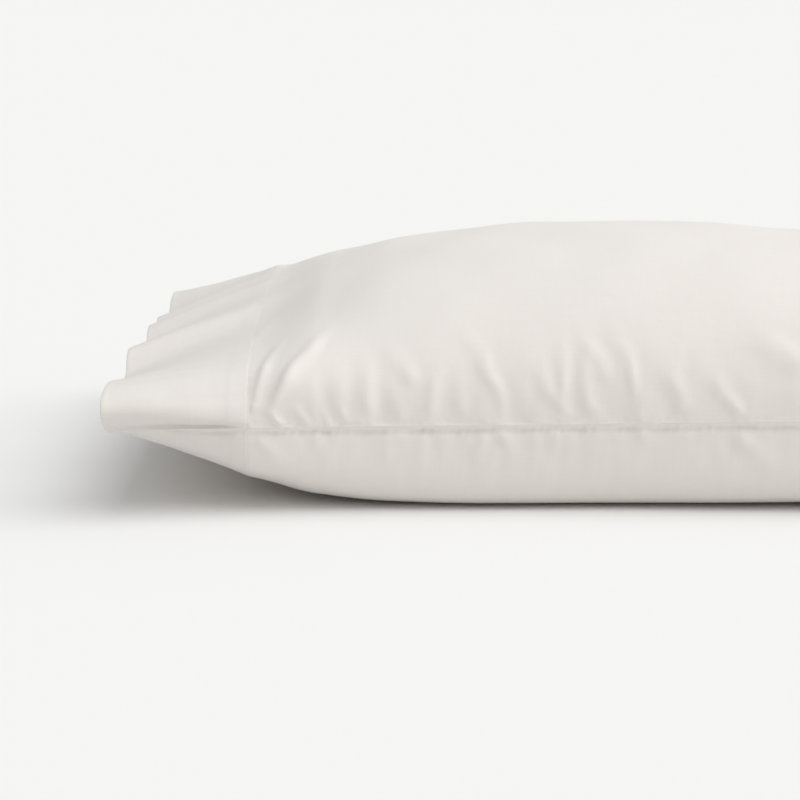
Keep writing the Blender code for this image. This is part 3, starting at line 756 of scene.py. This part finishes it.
def case_cloth():
    """The whole case: outside, folded mouth edge, inside of the hem and the filling's end."""
    stations = spaced(STATION_RUNS)
    shares = spaced(SHARE_RUNS)
    columns = len(shares)
    upper = panel(stations, shares, True)
    lower = panel(stations, shares, False)
    seam = (upper[:, [0, -1]] + lower[:, [0, -1]]) / 2.0
    for side in (upper, lower):
        side[:, 0] = seam[:, 0]
        side[:, -1] = seam[:, 1]
    lower[-1] = upper[-1]
    rings = closed_rings(upper, lower)
    out = ring_out(rings)
    cloth = Cloth(columns)
    numbers = []
    marks = []
    for index, ring in enumerate(rings):
        around = around_ring(upper[index], lower[index])
        marks.append(ring_marks(stations[index], around))
        if index < len(rings) - 1:
            numbers.append(cloth.add_points(ring))
        else:
            edge = cloth.add_points(ring[:columns])
            numbers.append(np.concatenate([edge, edge[-2:0:-1]]))
    for index in range(len(rings) - 1):
        # the hem's outside takes its deeper cotton, painted shade
        look = HEM_PAINTED_SHADE_LOOK if stations[index] < HEM_DEPTH - 0.5 else BODY_LOOK
        cloth.band(numbers[index], numbers[index + 1], marks[index], marks[index + 1], look)
    add_inside(cloth, stations, rings, out, numbers[0], marks[0])
    return cloth, upper, lower, stations


def add_inside(cloth, stations, rings, out, mouth_numbers, mouth_marks):
    """The folded mouth edge, the hem's inner wall and the filling's rounded end."""
    near_seam = cloth_to_seam(rings[0], cloth.columns)
    wall = WALL * smooth_share(near_seam / WALL_TAPER) + WALL_LEAST
    depth = int(np.argmin(np.abs(stations - NOSE_START)))
    before = mouth_numbers
    marks = mouth_marks
    turns = [math.pi * step / LIP_STEPS for step in range(1, LIP_STEPS)]
    for ring in lip_rings(rings[0], out[0], wall, turns):
        ring_numbers = cloth.add_points(ring)
        # the folded mouth edge takes the hem's deeper cotton, painted shade
        cloth.band(ring_numbers, before, marks, marks, HEM_PAINTED_SHADE_LOOK)
        before = ring_numbers
    picked = list(range(0, depth, INNER_STEP)) + [depth]
    for index in picked:
        inner = rings[index] - out[index] * wall[:, None]
        ring_numbers = cloth.add_points(inner)
        marks_here = mouth_marks.copy()
        marks_here[:, 0] = -stations[index] * MM
        cloth.band(ring_numbers, before, marks_here, marks, INSIDE_LOOK)
        before = ring_numbers
        marks = marks_here
    for ring in nose_rings(inner, cloth.columns):
        ring_numbers = cloth.add_points(ring)
        cloth.band(ring_numbers, before, marks, marks, INSIDE_LOOK)
        before = ring_numbers
    close_slit(cloth, before, cloth.columns, marks)


def cloth_to_seam(ring, columns):
    """Straight distance from each point of a ring to the nearer side seam."""
    front = np.linalg.norm(ring - ring[0], axis=1)
    back = np.linalg.norm(ring - ring[columns - 1], axis=1)
    return np.minimum(front, back)


def frame_shift(points):
    """Move from the shape's own axes to the frame: box middles together, floor at zero."""
    low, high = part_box(NODE)
    middle = (points.min(axis=0) + points.max(axis=0)) / 2.0 * MM
    along = (low[0] + high[0]) / 2.0 - middle[0]
    across = (low[1] + high[1]) / 2.0 - middle[1]
    return np.array([along, across, 0.0])


def link_object(name, mesh):
    item = bpy.data.objects.new(name, mesh)
    bpy.context.scene.collection.objects.link(item)
    return item


def cloth_object(cloth, shift):
    points = np.concatenate(cloth.points) * MM + shift
    faces = np.concatenate(cloth.faces)
    marks = np.concatenate(cloth.marks)
    looks = np.concatenate(cloth.looks)
    keep_four = faces[:, 2] != faces[:, 3]
    sides = np.where(keep_four, 4, 3)
    starts = np.concatenate([[0], np.cumsum(sides)[:-1]])
    used = np.ones(faces.shape, dtype=bool)
    used[~keep_four, 3] = False
    mesh = bpy.data.meshes.new("pillowcase_cloth")
    mesh.vertices.add(len(points))
    mesh.vertices.foreach_set("co", points.ravel())
    mesh.loops.add(int(sides.sum()))
    mesh.loops.foreach_set("vertex_index", faces[used].astype(np.int32))
    mesh.polygons.add(len(faces))
    mesh.polygons.foreach_set("loop_start", starts.astype(np.int32))
    mesh.polygons.foreach_set("material_index", looks.astype(np.int32))
    layer = mesh.uv_layers.new(name="cloth")
    layer.data.foreach_set("uv", marks[used].ravel().astype(np.float32))
    mesh.update(calc_edges=True)
    mesh.validate()
    mesh.shade_smooth()
    return link_object("pillowcase_cloth", mesh)


# ---------------------------------------------------------------- stitching

def stitch_shape():
    """A small spindle along +X of unit length and unit radius."""
    points = []
    faces = []
    rings = ((-0.5, 0.35), (-0.3, 0.9), (0.0, 1.0), (0.3, 0.9), (0.5, 0.35))
    around = 6
    for along, radius in rings:
        for step in range(around):
            angle = 2.0 * math.pi * step / around
            points.append((along, radius * math.cos(angle), radius * math.sin(angle)))
    for ring in range(len(rings) - 1):
        for step in range(around):
            after = (step + 1) % around
            low = ring * around
            faces.append((low + step, low + after, low + around + after, low + around + step))
    faces.append(tuple(range(around - 1, -1, -1)))
    last = (len(rings) - 1) * around
    faces.append(tuple(last + step for step in range(around)))
    return np.array(points), faces


def stitch_object(panels, stations, shift):
    """Thread stitches along the hem's sewn line, on both panels."""
    row = int(np.argmin(np.abs(stations - HEM_DEPTH)))
    shape, shape_faces = stitch_shape()
    points = []
    faces = []
    count = 0
    dice = np.random.default_rng(SEED + 90)
    for grid, upper in panels:
        out = outward_directions(grid[row - 1:row + 2], upper)[1]
        line = grid[row]
        run = np.concatenate([[0.0], np.cumsum(np.linalg.norm(np.diff(line, axis=0), axis=1))])
        for place in np.arange(STITCH_PITCH, run[-1] - STITCH_PITCH, STITCH_PITCH):
            place = place + STITCH_WANDER * (dice.random() - 0.5)
            centre = np.array([np.interp(place, run, line[:, axis]) for axis in range(3)])
            ahead = np.array([np.interp(place + 1.0, run, line[:, axis]) for axis in range(3)])
            up = np.array([np.interp(place, run, out[:, axis]) for axis in range(3)])
            along = ahead - centre
            along = along / np.linalg.norm(along)
            up = up - along * np.dot(up, along)
            up = up / np.linalg.norm(up)
            aside = np.cross(up, along)
            length = STITCH_LENGTH * (1.0 + STITCH_UNEVEN * (dice.random() - 0.5))
            local = shape * np.array([length, STITCH_RADIUS, STITCH_RADIUS])
            placed = local[:, :1] * along + local[:, 1:2] * aside + local[:, 2:] * up
            points.append(placed + centre + up * STITCH_LIFT)
            faces.extend([tuple(corner + count for corner in face) for face in shape_faces])
            count = count + len(shape)
    points = np.concatenate(points) * MM + shift
    mesh = bpy.data.meshes.new("hem_stitching")
    mesh.from_pydata(points.tolist(), [], faces)
    mesh.shade_smooth()
    return link_object("hem_stitching", mesh)


# ---------------------------------------------------------------- materials

def new_material(name):
    material = bpy.data.materials.new(name)
    material.use_nodes = True
    tree = material.node_tree
    return material, tree, tree.nodes["Principled BSDF"]


def link(tree, source, target):
    tree.links.new(source, target)


def math_node(tree, operation, first, second):
    node = tree.nodes.new("ShaderNodeMath")
    node.operation = operation
    for index, value in enumerate((first, second)):
        if isinstance(value, (int, float)):
            node.inputs[index].default_value = value
        else:
            link(tree, value, node.inputs[index])
    return node.outputs[0]


def ramp_node(tree, source, low, low_colour, high, high_colour):
    """One colour up to the low value and the other from the high value on."""
    node = tree.nodes.new("ShaderNodeValToRGB")
    first, last = node.color_ramp.elements
    first.position = low
    first.color = (*low_colour, 1.0)
    last.position = high
    last.color = (*high_colour, 1.0)
    link(tree, source, node.inputs["Fac"])
    return node.outputs["Color"]


def bump_nodes(tree, layers):
    """Layers of relief, one over the other: what is high, its strength, its depth in metres."""
    normal = None
    for height, strength, depth in layers:
        node = tree.nodes.new("ShaderNodeBump")
        node.inputs["Strength"].default_value = strength
        node.inputs["Distance"].default_value = depth
        link(tree, height, node.inputs["Height"])
        if normal is not None:
            link(tree, normal, node.inputs["Normal"])
        normal = node.outputs["Normal"]
    return normal


def noise_node(tree, vector, scale, detail, stretch=(1.0, 1.0, 1.0)):
    place = tree.nodes.new("ShaderNodeMapping")
    place.inputs["Scale"].default_value = stretch
    link(tree, vector, place.inputs["Vector"])
    node = tree.nodes.new("ShaderNodeTexNoise")
    node.inputs["Scale"].default_value = scale
    node.inputs["Detail"].default_value = detail
    link(tree, place.outputs["Vector"], node.inputs["Vector"])
    return node.outputs["Fac"]


def thread_wave(tree, vector, direction, threads_per_metre):
    """Evenly spaced threads across one direction of the cloth."""
    node = tree.nodes.new("ShaderNodeTexWave")
    node.wave_type = "BANDS"
    node.bands_direction = direction
    node.wave_profile = "SIN"
    # Blender's wave repeats every pi / 10 of its scaled coordinate
    node.inputs["Scale"].default_value = threads_per_metre * math.pi / 10.0
    node.inputs["Distortion"].default_value = 0.0
    link(tree, vector, node.inputs["Vector"])
    return node.outputs["Fac"]


def cotton_material(name, base, deep):
    """Smooth plain-woven cotton: weave, uneven threads, fine crush, low soft sheen; its colour is
    deeper where these lie low, painted shade in their hollows.
    """
    material, tree, shader = new_material(name)
    cloth = tree.nodes.new("ShaderNodeUVMap")
    cloth.uv_map = "cloth"
    vector = cloth.outputs["UV"]
    warp = thread_wave(tree, vector, "X", WARP_THREADS)
    weft = thread_wave(tree, vector, "Y", WEFT_THREADS)
    weave = math_node(tree, "MAXIMUM", warp, weft)
    slub_along = noise_node(tree, vector, 900.0, 3.0, (0.035, 1.0, 1.0))
    slub_across = noise_node(tree, vector, 900.0, 3.0, (1.0, 0.035, 1.0))
    slub = math_node(tree, "ADD", slub_along, slub_across)
    crush = noise_node(tree, vector, 60.0, 5.0, (1.0, 0.8, 1.0))
    crush_wide = noise_node(tree, vector, 17.0, 3.0, (1.0, 0.7, 1.0))
    layers = (
        (crush_wide, 0.55, 0.0020), (crush, 0.5, 0.0006),
        (slub, 0.35, 0.00006), (weave, 0.30, 0.00004),
    )
    link(tree, bump_nodes(tree, layers), shader.inputs["Normal"])

    # colour follows the bump: deeper where the weave, the slubs and the wide crush lie low, painted
    # shade in their hollows, with some uneven thread tone from the slubs
    uneven = math_node(tree, "MULTIPLY", slub, 0.35)
    uneven = math_node(tree, "ADD", uneven, math_node(tree, "MULTIPLY", weave, 0.15))
    uneven = math_node(tree, "ADD", uneven, math_node(tree, "MULTIPLY", crush_wide, 0.2))
    link(tree, ramp_node(tree, uneven, 0.30, deep, 0.70, base), shader.inputs["Base Color"])

    shader.inputs["Roughness"].default_value = 0.75
    shader.inputs["Specular IOR Level"].default_value = 0.16
    shader.inputs["Sheen Weight"].default_value = 0.06
    shader.inputs["Sheen Roughness"].default_value = 0.5
    return material


def thread_material():
    material, tree, shader = new_material("cotton_thread")
    place = tree.nodes.new("ShaderNodeTexCoord")
    twist = noise_node(tree, place.outputs["Object"], 3500.0, 2.0)
    # the thread's colour is deeper where its twist lies low: painted shade in the twist's grooves
    tint = ramp_node(tree, twist, 0.35, THREAD_DEEP, 0.65, THREAD_COLOUR)
    link(tree, tint, shader.inputs["Base Color"])
    link(tree, bump_nodes(tree, ((twist, 0.4, 0.00005),)), shader.inputs["Normal"])
    shader.inputs["Roughness"].default_value = 0.5
    shader.inputs["Specular IOR Level"].default_value = 0.35
    return material


def floor_material():
    material, tree, shader = new_material("pale_floor")
    shader.inputs["Base Color"].default_value = (FLOOR_TONE, FLOOR_TONE, FLOOR_TONE, 1.0)
    shader.inputs["Roughness"].default_value = 0.95
    shader.inputs["Specular IOR Level"].default_value = 0.0
    return material


# ---------------------------------------------------------------- camera, light and floor

def add_camera():
    data = bpy.data.cameras.new("camera")
    data.lens = LENS
    data.sensor_width = SENSOR
    data.clip_start = 0.05
    data.clip_end = 60.0
    item = link_object("camera", data)
    item.location = CAMERA_PLACE
    item.rotation_euler = (math.radians(90.0 - CAMERA_DOWN), 0.0, math.radians(CAMERA_LEFT))
    bpy.context.scene.camera = item


def add_sun(name, direction, strength, softness, colour):
    data = bpy.data.lights.new(name, "SUN")
    data.energy = strength
    data.angle = math.radians(softness)
    data.color = colour
    item = link_object(name, data)
    yaw = math.atan2(direction[0], -direction[1])
    tilt = math.atan2(math.hypot(direction[0], direction[1]), direction[2])
    item.rotation_euler = (tilt, 0.0, yaw)


def add_world():
    """A pale sky, warmer at the horizon and a little stronger on the right."""
    world = bpy.data.worlds.new("studio")
    world.use_nodes = True
    tree = world.node_tree
    back = tree.nodes["Background"]
    place = tree.nodes.new("ShaderNodeTexCoord")
    parts = tree.nodes.new("ShaderNodeSeparateXYZ")
    link(tree, place.outputs["Generated"], parts.inputs["Vector"])
    lean = math_node(tree, "MULTIPLY", parts.outputs["X"], SKY_LEAN)
    strength = math_node(tree, "ADD", lean, SKY_STRENGTH)
    link(tree, strength, back.inputs["Strength"])
    sky = ramp_node(tree, parts.outputs["Z"], 0.05, SKY_LOW, 0.60, SKY_HIGH)
    link(tree, sky, back.inputs["Color"])
    bpy.context.scene.world = world


def add_floor():
    size = FLOOR_HALF
    mesh = bpy.data.meshes.new("floor")
    corners = [(-size, -size, 0.0), (size, -size, 0.0), (size, size, 0.0), (-size, size, 0.0)]
    mesh.from_pydata(corners, [], [(0, 1, 2, 3)])
    mesh.materials.append(floor_material())
    item = link_object("floor", mesh)


def build_case():
    cloth, upper, lower, stations = case_cloth()
    shift = frame_shift(np.concatenate([upper.reshape(-1, 3), lower.reshape(-1, 3)]))
    case = cloth_object(cloth, shift)
    for name, colour, deep in COTTON_LOOKS:
        case.data.materials.append(cotton_material(name, colour, deep))
    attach(case, "root")
    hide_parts(NODE)
    stitches = stitch_object(((upper, True), (lower, False)), stations, shift)
    stitches.data.materials.append(thread_material())
    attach(stitches, "root")


def main():
    add_camera()
    add_world()
    for name, direction, strength, softness, colour in SUNS:
        add_sun(name, direction, strength, softness, colour)
    add_floor()
    build_case()
    bpy.context.scene.view_settings.view_transform = "Standard"
    bpy.context.scene.view_settings.look = "None"


main()
